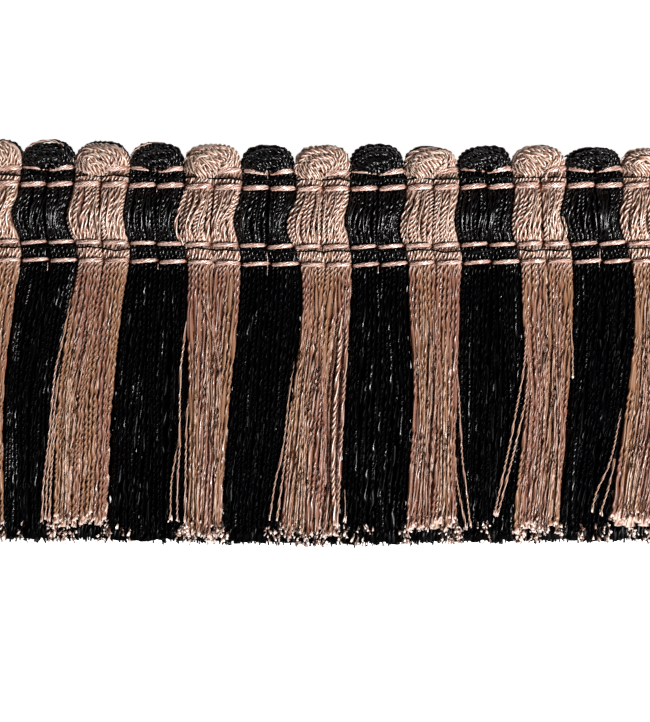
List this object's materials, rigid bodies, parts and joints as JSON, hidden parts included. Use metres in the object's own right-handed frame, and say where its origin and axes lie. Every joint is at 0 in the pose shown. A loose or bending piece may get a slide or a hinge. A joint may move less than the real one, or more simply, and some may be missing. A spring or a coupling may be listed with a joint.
{
  "type": "moss fringe",
  "caption": "Cut length of two-colour moss fringe: looped bundles of twisted yarn under a stitched heading, hanging as a cut skirt, laid flat with its face up.",
  "frame": {"origin": "middle of the underside of the trimming's bounding box, on the surface that it lies on", "axes": "+X along the trimming, +Y from the cut tips towards the humps of the heading, +Z out of the face"},
  "size_m": [0.1062, 0.0592, 0.006],
  "materials": {
    "rose_yarn": "lustrous two-ply viscose yarn, dusty rose",
    "black_yarn": "lustrous two-ply viscose yarn, black",
    "rose_binding": "glossy flat-lying binding thread, pale rose",
    "black_binding": "fine black binding thread"
  },
  "bodies": {
    "root": {"face_block_01": "rose_yarn", "face_block_02": "black_yarn", "face_block_03": "rose_yarn", "face_block_04": "black_yarn", "face_block_05": "rose_yarn", "face_block_06": "black_yarn", "face_block_07": "rose_yarn", "face_block_08": "black_yarn", "face_block_09": "rose_yarn", "face_block_10": "black_yarn", "face_block_11": "rose_yarn", "face_block_12": "black_yarn", "face_block_13": "rose_yarn", "back_block_01": "black_yarn", "back_block_02": "rose_yarn", "back_block_03": "black_yarn", "back_block_04": "rose_yarn", "back_block_05": "black_yarn", "back_block_06": "rose_yarn", "back_block_07": "black_yarn", "back_block_08": "rose_yarn", "back_block_09": "black_yarn", "back_block_10": "rose_yarn", "back_block_11": "black_yarn", "back_block_12": "rose_yarn", "back_block_13": "black_yarn", "rose_row_1": "rose_binding", "rose_row_2": "rose_binding", "rose_row_3": "rose_binding", "rose_row_4": "rose_binding", "black_row_upper": "black_binding", "black_row_lower": "black_binding"}
  },
  "joints": []
}
